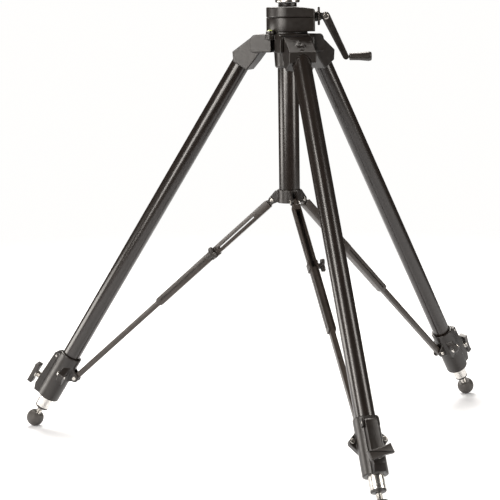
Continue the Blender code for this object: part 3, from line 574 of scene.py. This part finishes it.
# ---------------------------------------------------------------- crank
def make_crank():
    """Shaft tongue, friction ring, arm, hinge screw and grip."""
    head = head_frame()
    local = head.inverted()
    shaft = local @ joint_pos("crank_turn")
    pivot = local @ joint_pos("crank_arm_fold")
    grip = local @ joint_pos("crank_grip_spin")
    at_shaft = head @ Matrix.Translation(shaft)
    ring_start = HOUSING_REACH + 5 * MM
    ring_end = ring_start + 3.5 * MM
    reach = pivot.x - shaft.x
    tongue = arc((reach, 0), 5.6 * MM, -90, 90, 16)
    tongue += [(ring_end + 2 * MM, 5.6 * MM), (ring_end + 2 * MM, -5.6 * MM)]
    shank = combined(
        along_x(rod(4 * MM, -16 * MM, ring_end + 2 * MM, 0.3 * MM)),
        joined=[along_x(rod(7.2 * MM, ring_end + GAP, ring_end + 2.5 * MM, 0.5 * MM, 48)),
                slab(tongue, -3 * MM, 3 * MM, 0.4 * MM)],
        cut=[along_y(rod(2.3 * MM, -5 * MM, 5 * MM), (reach, 0, 0))])
    piece("pinion_shaft", "crank_shaft", "cast_black", shank, at_shaft)

    star = []
    points = 18
    for k in range(points * 6):
        angle = 2 * math.pi * k / (points * 6)
        radius = (14.6 + math.cos(points * angle)) * MM
        star.append((radius * math.cos(angle), radius * math.sin(angle)))
    bore = along_x(rod(4.3 * MM, 0, 80 * MM))
    ring = combined(slab(star, ring_start, ring_end, 0.7 * MM, "X"), cut=[bore])
    piece("friction_ring", "drag_ring", "black_plastic", ring, at_shaft)

    at_pivot = head @ Matrix.Translation(pivot)
    tip = (grip.x - pivot.x, grip.z - pivot.z)
    lean = math.degrees(math.atan2(tip[0], -tip[1]))
    outline = arc((0, 0), 7.2 * MM, lean, lean + 180, 24)
    outline += arc(tip, 5 * MM, lean + 180, lean + 360, 16)
    half = 6.6 * MM
    slot = box((-30 * MM, -3.3 * MM, -10.5 * MM), (11 * MM, 3.3 * MM, 20 * MM))
    groove = arc((tip[0] * 0.25, tip[1] * 0.25), 2.6 * MM, lean, lean + 180, 12)
    groove += arc((tip[0] * 0.84, tip[1] * 0.84), 1.8 * MM, lean + 180, lean + 360, 12)
    pin = along_x(rod(2.5 * MM, -2 * MM, 33 * MM, 0.3 * MM), (tip[0] + 2 * MM, 0, tip[1]))
    arm = combined(slab(outline, -half, half, 1.2 * MM), cut=[
        slot, along_y(rod(2.3 * MM, -9 * MM, 9 * MM)), slab(groove, -half - 1 * MM, -half + 1.4 * MM),
        slab(groove, half - 1.4 * MM, half + 1 * MM)], added=[pin])
    piece("crank_arm", "crank", "cast_black", arm, at_pivot)
    screw = along_y(turned([
        (0, -half - 2.4 * MM), (4 * MM, -half - 2.4 * MM), (5.4 * MM, -half - 1.2 * MM),
        (5.4 * MM, -half - GAP), (2 * MM, -half - GAP), (2 * MM, half + GAP),
        (3.4 * MM, half + GAP), (3.4 * MM, half + 2 * MM), (0, half + 2 * MM)], 0.3 * MM, 48))
    cross = box((-4 * MM, -half - 3.4 * MM, -0.6 * MM), (4 * MM, -half - 1.4 * MM, 0.6 * MM))
    piece("crank_screw", "crank", "bright_steel", combined(screw, cut=[cross]), at_pivot)

    start = 6 * MM
    length = 38 * MM
    bore = 2.8 * MM
    handle = along_x(turned([
        (bore, start), (5.4 * MM, start), (6.3 * MM, start + 1.5 * MM), (6.6 * MM, start + 16 * MM),
        (8.2 * MM, start + length - 5 * MM), (7.4 * MM, start + length - 1 * MM),
        (5.5 * MM, start + length), (0, start + length), (0, length), (bore, length)], 0.8 * MM, 48))
    piece("crank_grip", "grip", "black_plastic", handle, head @ Matrix.Translation(grip))


# ---------------------------------------------------------------- legs
def make_yoke(number, matrix):
    """The hip casting: a sloping flat face with a small boss, and a socket for the tube."""
    lip = TUBE_X + TUBE_R + 2.5 * MM
    face_top = 14.5 * MM
    face_high = 3 * MM
    face_drop = 39 * MM
    outline = arc((0, 0), 11 * MM, 90, 195, 16)
    outline += [
        (-12.5 * MM, -12 * MM), (-10.5 * MM, -32 * MM), (-7.6 * MM, YOKE_END), (TUBE_X + 8 * MM, YOKE_END),
        (lip, face_high - face_drop), (face_top, face_high), (10 * MM, 7 * MM)]
    spigot = moved(rod(TUBE_R - TUBE_WALL - GAP, -62 * MM, YOKE_SOCKET + 2 * MM, sides=48), (TUBE_X, 0, 0))
    socket = moved(rod(TUBE_R + GAP, YOKE_END - 1 * MM, YOKE_SOCKET, sides=ROUND), (TUBE_X, 0, 0))
    corners = fillet([(-10 * MM, -6 * MM), (10 * MM, -6 * MM), (0, 11 * MM)], 4 * MM, 5)
    dimple = along_x(rod(2.4 * MM, 0.8 * MM, 4 * MM))
    boss = combined(slab(corners, -2 * MM, 1.6 * MM, 0.5 * MM, "X"), cut=[dimple])
    lean = Matrix.Rotation(math.atan2(face_top - lip, face_drop), 4, "Y")
    boss = moved(boss, ((lip + face_top) / 2, 0, face_high - face_drop / 2), lean)
    block = combined(slab(outline, -YOKE_HALF, YOKE_HALF, 1.2 * MM), joined=[boss],
                     cut=[socket, along_y(rod(HIP_HOLE_R, -30 * MM, 30 * MM))], added=[spigot])
    piece("leg_yoke_%d" % number, "leg_%d" % number, "cast_black", cast(block, 0.7 * MM, 2), matrix)


def knob_bore():
    """The cutter for the clamp knob's hole, through the jaw and into the housing."""
    return along_x(rod(JAW_HOLE_R, TUBE_X + 6 * MM, TUBE_X + 40 * MM), (0, 0, KNOB_Z))


def make_clamp(number, matrix):
    """Clamp housing with its pinch ears, strut lug, jaw cheeks and fasteners."""
    top = CLAMP_TOP
    end = CLAMP_END
    barrel_r = 20.5 * MM
    tube_bore = TUBE_R + GAP
    inner_bore = INNER_R + GAP
    step = TUBE_END - 2 * GAP
    barrel = turned([
        (barrel_r, end), (barrel_r, top), (tube_bore, top), (tube_bore, step), (inner_bore, step),
        (inner_bore, end)], 1.4 * MM)
    barrel = moved(barrel, (TUBE_X, 0, 0))
    pin = (-16 * MM, -704 * MM)
    lug = arc(pin, 7.6 * MM, 110, 280, 16)
    lug += [(TUBE_X - 16.8 * MM, pin[1] - 16 * MM), (TUBE_X - 16.8 * MM, pin[1] + 14 * MM)]
    ear = [
        (-17 * MM, EAR_Z + 16 * MM), (-31 * MM, EAR_Z + 2 * MM), (-31 * MM, EAR_Z - 3 * MM),
        (-17 * MM, EAR_Z - 20 * MM), (17 * MM, EAR_Z - 20 * MM), (31 * MM, EAR_Z - 3 * MM),
        (31 * MM, EAR_Z + 2 * MM), (17 * MM, EAR_Z + 16 * MM)]
    back = TUBE_X - 15 * MM
    front = TUBE_X - 3 * MM
    split = TUBE_X - 9.5 * MM
    cheek_x = TUBE_X + 13 * MM
    jaw_half = 10 * MM
    cheeks = box((cheek_x, -14 * MM, top - 19 * MM), (cheek_x + 11 * MM, 14 * MM, top - 7 * MM))
    bore = turned([
        (0, end - 1 * MM), (inner_bore, end - 1 * MM), (inner_bore, step), (tube_bore, step),
        (tube_bore, top + 1 * MM), (0, top + 1 * MM)], 0)
    seat = TUBE_X + 17 * MM
    jaw_side = jaw_half + GAP
    cuts = [
        moved(bore, (TUBE_X, 0, 0)),
        box((seat, -jaw_side, end - 1 * MM), (seat + 30 * MM, jaw_side, top + 1 * MM)),
        box((TUBE_X + 6 * MM, -jaw_side, end - 1 * MM), (TUBE_X + 25 * MM, jaw_side, end + 18 * MM)),
        box((-40 * MM, -4.8 * MM, pin[1] - 9 * MM), (TUBE_X - 19.6 * MM, 4.8 * MM, pin[1] + 20 * MM)),
        along_y(rod(3 * MM, -20 * MM, 20 * MM), (pin[0], 0, pin[1])),
        knob_bore(),
    ]
    body = "leg_%d" % number
    for side in (-1, 1):
        low, high = sorted((side * 12 * MM, side * 40 * MM))
        slit = box((split - 0.7 * MM, low, EAR_Z - 22 * MM), (split + 0.7 * MM, high, top + 1 * MM))
        cuts.append(slit)
        screw = turned([
            (0, front - GAP), (4.2 * MM, front - GAP), (4.2 * MM, front + 2.2 * MM),
            (3.6 * MM, front + 3 * MM), (0, front + 3 * MM)], 0.3 * MM, SMALL_ROUND)
        screw = combined(screw, cut=[rod(1.9 * MM, front + 1.4 * MM, front + 4 * MM, sides=6)])
        nut = rod(3.4 * MM, back - 1.8 * MM, back + GAP, 0.3 * MM, 6)
        for name, fastener in (("screw", screw), ("nut", nut)):
            label = "ear_%s_%d_%s" % (name, number, "left" if side < 0 else "right")
            fastener = along_x(fastener, (0, side * 25.5 * MM, EAR_Z))
            piece(label, body, "bright_steel", fastener, matrix, False)
    lug = slab(lug, -8.3 * MM, 8.3 * MM, 0.8 * MM)
    ears = slab(ear, back, front, 0.8 * MM, "X")
    shell = combined(barrel, joined=[lug, ears, cheeks], cut=cuts)
    piece("clamp_housing_%d" % number, body, "cast_black", cast(shell, 0.7 * MM, 4), matrix)
    strut_pin = along_y(headed_pin(2.7 * MM, 8.6 * MM), (pin[0], 0, pin[1]))
    piece("strut_pin_%d" % number, body, "bright_steel", strut_pin, matrix)

    inner = TUBE_X + 17.3 * MM
    pad = TUBE_X + INNER_R + 0.4 * MM
    outline = [
        (inner, top - 8 * MM), (TUBE_X + 25 * MM, top - 8 * MM), (TUBE_X + 27 * MM, top - 10.5 * MM),
        (TUBE_X + 31 * MM, end + 11 * MM), (TUBE_X + 27 * MM, end - 1 * MM), (pad, end - 1.5 * MM),
        (pad, end + 17 * MM), (inner, end + 17.6 * MM)]
    jaw_pin = along_y(rod(1.9 * MM, -14.4 * MM, 14.4 * MM, 0.4 * MM), (TUBE_X + 20.4 * MM, 0, top - 13 * MM))
    jaw = combined(slab(fillet(outline, 1.5 * MM), -jaw_half, jaw_half, 1.2 * MM), cut=[knob_bore()])
    piece("clamp_jaw_%d" % number, body, "cast_black", jaw, matrix)
    piece("jaw_pin_%d" % number, body, "bright_steel", jaw_pin, matrix, False)


def make_clamp_knob(number, matrix, turn):
    """Wing knob on its threaded stem."""
    at_knob = matrix @ Matrix.Translation((TUBE_X, 0, KNOB_Z)) @ Matrix.Rotation(math.radians(turn), 4, "X")
    stem = [(0, 13.4 * MM), (2.6 * MM, 13.4 * MM), (2.6 * MM, 30.7 * MM)]
    stem += threads(6 * MM, 0.6 * MM, 1.4 * MM, 30.8 * MM, 37 * MM)
    stem += [(7.6 * MM, 38.2 * MM), (8 * MM, 40 * MM), (0, 40 * MM)]
    piece("knob_stem_%d" % number, "leg_clamp_knob_%d" % number, "bright_steel",
          along_x(turned(stem, 0.15 * MM, 48)), at_knob, False)
    right = []
    reach = 19.5 * MM
    waist = 6.5 * MM
    tip = 8 * MM
    for k in range(-16, 17):
        share = k / 16
        right.append((waist + (tip - waist) * share * share, reach * share))
    outline = fillet(right + [(-y, z) for y, z in reversed(right)], 3 * MM, 5)
    wing = slab(outline, 38.4 * MM, 48 * MM, 1.8 * MM, "X", 5)
    piece("clamp_knob_%d" % number, "leg_clamp_knob_%d" % number, "black_plastic", wing, at_knob)


def make_lower_leg(number, matrix):
    """Bright inner tube, foot spindle and rubber ball."""
    body = "lower_leg_%d" % number
    at_tube = matrix @ Matrix.Translation((TUBE_X, 0, 0))
    piece("lower_tube_%d" % number, body, "bright_aluminium",
          pipe(INNER_R, INNER_R - TUBE_WALL, INNER_END, INNER_TOP), at_tube)
    top = at_tube.translation.z
    fall = (at_tube.to_3x3() @ UP).z
    ball_z = (BALL_R - top) / fall
    plug = INNER_R - TUBE_WALL - GAP
    spindle = 5 * MM
    profile = [(0, ball_z + 1 * MM), (1.5 * MM, ball_z + 1 * MM), (spindle, ball_z + 6 * MM)]
    profile += threads(spindle, 0.5 * MM, 1.5 * MM, ball_z + 8 * MM, INNER_END - 5 * MM)
    profile += [(spindle, INNER_END + 24 * MM), (0, INNER_END + 24 * MM)]
    piece("foot_spindle_%d" % number, body, "bright_steel", turned(profile, 0.2 * MM, 64), at_tube)
    cap = turned([
        (spindle + 0.1 * MM, INNER_END - 4 * MM), (INNER_R - 1.2 * MM, INNER_END - 4 * MM),
        (INNER_R, INNER_END - 2.6 * MM), (INNER_R, INNER_END - GAP), (plug, INNER_END - GAP),
        (plug, INNER_END + 10 * MM), (spindle + 0.1 * MM, INNER_END + 10 * MM)], 0.3 * MM)
    piece("foot_cap_%d" % number, body, "black_plastic", cap, at_tube, False)
    flat = 11 * MM
    ball_r = BALL_R - GAP
    rim = math.degrees(math.asin(flat / ball_r))
    ball = [(0, -ball_r)] + arc((0, 0), ball_r, -87, -3, 30)
    ball += [(ball_r - 0.25 * MM, 0), *arc((0, 0), ball_r, 3, rim, 20)]
    ball += [(spindle + 0.6 * MM, flat), (spindle + 0.6 * MM, 4 * MM), (0, -1 * MM)]
    at_ball = at_tube @ Matrix.Translation((0, 0, ball_z))
    piece("foot_ball_%d" % number, body, "grey_rubber", turned(ball, 0.5 * MM, 80), at_ball)


def make_strut(number):
    """Slotted channel, lock knob and inner bar."""
    matrix = strut_frame(number)
    start_at = joint_pos("strut_fold_%d" % number)
    end_at = joint_pos("inner_strut_fold_%d" % number)
    span = (end_at - start_at).length
    half_w = 6.6 * MM
    half_h = 7.5 * MM
    wall = 1.8 * MM
    inner_w = half_w - wall
    start = 9 * MM
    length = 285 * MM
    knob_at = (matrix.inverted() @ joint_pos("lock_knob_turn_%d" % number)).x
    side = [(start, -half_h), (length, -half_h), (length, half_h), (start, half_h)]
    hollow = box((start + 14 * MM, -inner_w, -half_h + wall), (length + 9 * MM, inner_w, 20 * MM))
    tongue = arc((0, 0), 5.6 * MM, 90, 270, 16) + [(start + 4 * MM, -5.6 * MM), (start + 4 * MM, 5.6 * MM)]
    band = [
        (knob_at - 8 * MM, -half_h - 1.6 * MM), (knob_at + 8 * MM, -half_h - 1.6 * MM),
        (knob_at + 8 * MM, half_h - 0.5 * MM), (knob_at - 8 * MM, half_h - 0.5 * MM)]
    lock = slab(band, -half_w - 1.8 * MM, half_w + 1.8 * MM, 0.8 * MM)
    slots = []
    for low, high in ((46 * MM, knob_at - 14 * MM), (knob_at + 14 * MM, length - 9 * MM)):
        outline = arc((low, 0), 1.4 * MM, 90, 270, 8) + arc((high, 0), 1.4 * MM, -90, 90, 8)
        slots.append(slab(outline, -20 * MM, 20 * MM))
    stem_hole = along_y(rod(2.3 * MM, 0, 20 * MM), (knob_at, 0, 0))
    pin_hole = along_y(rod(2.8 * MM, -10 * MM, 10 * MM))
    channel = combined(
        slab(fillet(side, 4 * MM, 4), -half_w, half_w, 0.7 * MM),
        joined=[slab(tongue, -3 * MM, 3 * MM, 0.4 * MM), lock],
        cut=[hollow, *slots, stem_hole, pin_hole])
    piece("strut_channel_%d" % number, "strut_%d" % number, "strut_grey", channel, matrix)

    at_knob = matrix @ Matrix.Translation((knob_at, 0, 0))
    stem = along_y(turned([
        (0, inner_w + GAP), (2 * MM, inner_w + GAP), (2 * MM, half_w + 2.1 * MM),
        (4.6 * MM, half_w + 2.1 * MM), (4.6 * MM, half_w + 7 * MM), (0, half_w + 7 * MM)],
        0.3 * MM, SMALL_ROUND))
    lobes = []
    for k in range(ROUND):
        angle = 2 * math.pi * k / ROUND
        radius = (8.6 + 3.6 * math.cos(3 * angle)) * MM
        lobes.append((radius * math.cos(angle), radius * math.sin(angle)))
    grip = combined(stem, joined=[slab(lobes, half_w + 6 * MM, half_w + 13 * MM, 1.6 * MM, "Y", 4)])
    piece("strut_knob_%d" % number, "lock_knob_%d" % number, "black_plastic", grip, at_knob)

    half_bar = 5 * MM
    bar_w = inner_w - GAP
    bar_start = knob_at + 5 * MM
    bar = [(bar_start, half_bar), (bar_start, -half_bar), (span - 6 * MM, -half_bar)]
    bar += arc((span, 0), 5.6 * MM, -80, 80, 16) + [(span - 6 * MM, half_bar)]
    eye = along_y(rod(3 * MM, -10 * MM, 10 * MM), (span, 0, 0))
    solid = combined(slab(bar, -bar_w, bar_w, 0.8 * MM), cut=[eye])
    piece("strut_bar_%d" % number, "inner_strut_%d" % number, "strut_grey", solid, matrix)


def make_leg(number, knob_turn):
    """One leg with its strut, its clamp knob turned to an angle in degrees."""
    matrix = leg_frame(number)
    make_yoke(number, matrix)
    tube = pipe(TUBE_R, TUBE_R - TUBE_WALL, TUBE_END, YOKE_SOCKET - GAP)
    piece("leg_tube_%d" % number, "leg_%d" % number, "black_anodised", tube,
          matrix @ Matrix.Translation((TUBE_X, 0, 0)))
    make_clamp(number, matrix)
    make_clamp_knob(number, matrix, knob_turn)
    make_lower_leg(number, matrix)
    make_strut(number)


# ---------------------------------------------------------------- studio
CAMERA_AZIMUTH = -15.72
CAMERA_DISTANCE = 2.993
CAMERA_HEIGHT = 0.7788
CAMERA_PITCH = 8.318
CAMERA_YAW = -1.345
CAMERA_ROLL = -0.847
CAMERA_LENS = 124.76
FLOOR_REACH = 3
FLOOR_FRONT = 0.8
FLOOR_FADE_START = 1.0
FLOOR_FADE_END = 2.9
LAMP_COLOUR = (1, 0.955, 0.90)


def around(bearing, distance, height):
    """A point at a bearing in degrees from the camera's side of the column, clockwise from above."""
    angle = math.radians(CAMERA_AZIMUTH - 90 - bearing)
    return Vector((distance * math.cos(angle), distance * math.sin(angle), height))


def make_floor():
    """Pale paper that ends a little in front of the feet and fades into the white behind them."""
    away = around(180, 1, 0)
    aside = Vector((-away.y, away.x, 0))
    front_left = aside * FLOOR_REACH - away * FLOOR_FRONT
    front_right = -aside * FLOOR_REACH - away * FLOOR_FRONT
    back_right = (away - aside) * FLOOR_REACH
    back_left = (away + aside) * FLOOR_REACH
    floor_mesh = mesh_from([front_left, front_right, back_right, back_left], [(0, 1, 2, 3)])
    floor = bpy.data.objects.new("floor", floor_mesh)
    floor.location.z = -0.5 * MM
    bpy.context.scene.collection.objects.link(floor)
    paper = bpy.data.materials.new("paper")
    paper.use_nodes = True
    tree = paper.node_tree
    shader = tree.nodes["Principled BSDF"]
    shader.inputs["Base Color"].default_value = (0.90, 0.92, 0.955, 1)
    shader.inputs["Roughness"].default_value = 0.9
    shader.inputs["Specular IOR Level"].default_value = 0.0
    place = tree.nodes.new("ShaderNodeTexCoord")
    length = tree.nodes.new("ShaderNodeVectorMath")
    length.operation = "LENGTH"
    link(tree, place.outputs["Object"], length.inputs[0])
    fade = tree.nodes.new("ShaderNodeMapRange")
    fade.interpolation_type = "SMOOTHSTEP"
    fade.inputs["From Min"].default_value = FLOOR_FADE_START
    fade.inputs["From Max"].default_value = FLOOR_FADE_END
    link(tree, length.outputs["Value"], fade.inputs["Value"])
    clear = tree.nodes.new("ShaderNodeBsdfTransparent")
    mix = tree.nodes.new("ShaderNodeMixShader")
    link(tree, fade.outputs["Result"], mix.inputs["Fac"])
    link(tree, shader.outputs["BSDF"], mix.inputs[1])
    link(tree, clear.outputs["BSDF"], mix.inputs[2])
    link(tree, mix.outputs["Shader"], tree.nodes["Material Output"].inputs["Surface"])
    floor.data.materials.append(paper)


def make_world():
    """White to the camera and dim to everything else, so that dark paint stays dark."""
    world = bpy.data.worlds.new("studio")
    world.use_nodes = True
    tree = world.node_tree
    dim = tree.nodes["Background"]
    dim.inputs["Color"].default_value = (1, 0.94, 0.88, 1)
    dim.inputs["Strength"].default_value = 0.06
    white = tree.nodes.new("ShaderNodeBackground")
    white.inputs["Color"].default_value = (1, 0.995, 0.985, 1)
    path = tree.nodes.new("ShaderNodeLightPath")
    mix = tree.nodes.new("ShaderNodeMixShader")
    link(tree, path.outputs["Is Camera Ray"], mix.inputs["Fac"])
    link(tree, dim.outputs["Background"], mix.inputs[1])
    link(tree, white.outputs["Background"], mix.inputs[2])
    link(tree, mix.outputs["Shader"], tree.nodes["World Output"].inputs["Surface"])
    bpy.context.scene.world = world


def make_lights():
    """A softbox behind and above, and others round the front that draw bright lines down the tubes."""
    lamps = (
        ("overhead", Vector((0, 1.9, 2.8)), 1.9, 1.9, 160),
        ("front", around(24, 3.3, 1.05), 1.0, 0.6, 24),
        ("left_low", around(92, 2.2, 0.32), 1.2, 0.56, 20),
        ("left_tall", around(42, 2.6, 2.2), 0.6, 3.8, 105),
        ("right_tall", around(-62, 2.4, 1.6), 0.7, 2.8, 56),
    )
    for name, place, width, height, power in lamps:
        data = bpy.data.lights.new(name, "AREA")
        data.shape = "RECTANGLE"
        data.size = width
        data.size_y = height
        data.energy = power
        data.color = LAMP_COLOUR
        lamp = bpy.data.objects.new(name, data)
        lamp.location = place
        aim = -place if name == "overhead" else Vector((-place.x, -place.y, 0))
        lamp.rotation_euler = aim.to_track_quat("-Z", "Y").to_euler()
        bpy.context.scene.collection.objects.link(lamp)


def make_camera():
    """A long lens a little above the spreader, looking slightly down."""
    pitch, yaw, roll = (math.radians(angle) for angle in (CAMERA_PITCH, CAMERA_YAW, CAMERA_ROLL))
    turn = Matrix.Rotation(math.radians(CAMERA_AZIMUTH), 3, "Z")
    ahead = Vector((math.sin(yaw) * math.cos(pitch), math.cos(yaw) * math.cos(pitch), -math.sin(pitch)))
    level = Vector((math.cos(yaw), -math.sin(yaw), 0))
    upright = level.cross(ahead)
    right = math.cos(roll) * level + math.sin(roll) * upright
    top = math.cos(roll) * upright - math.sin(roll) * level
    data = bpy.data.cameras.new("camera")
    data.lens = CAMERA_LENS
    data.sensor_width = 36
    data.clip_end = 100
    camera = bpy.data.objects.new("camera", data)
    bpy.context.scene.collection.objects.link(camera)
    place = around(0, CAMERA_DISTANCE, CAMERA_HEIGHT)
    camera.matrix_world = axes(turn @ right, turn @ top, turn @ -ahead, place)
    bpy.context.scene.camera = camera


def paint_nodes():
    """Give the few CAD nodes that stay visible their finishes."""
    for node in frame["nodes"].values():
        if node.name.startswith(("hip_pin", "column_rack")):
            node.data.materials.clear()
            node.data.materials.append(FINISHES["bright_steel"])
        if node.name == "guide_bush":
            node.data.materials.clear()
            node.data.materials.append(FINISHES["black_plastic"])


paint_nodes()
make_crown()
make_guide_tube()
make_spreader_hub()
make_gear_housing()
make_column()
make_crank()
for leg_number, knob_angle in zip(LEGS, (105, 8, -6)):
    make_leg(leg_number, knob_angle)
make_floor()
make_world()
make_lights()
make_camera()
bpy.context.scene.view_settings.view_transform = "Standard"
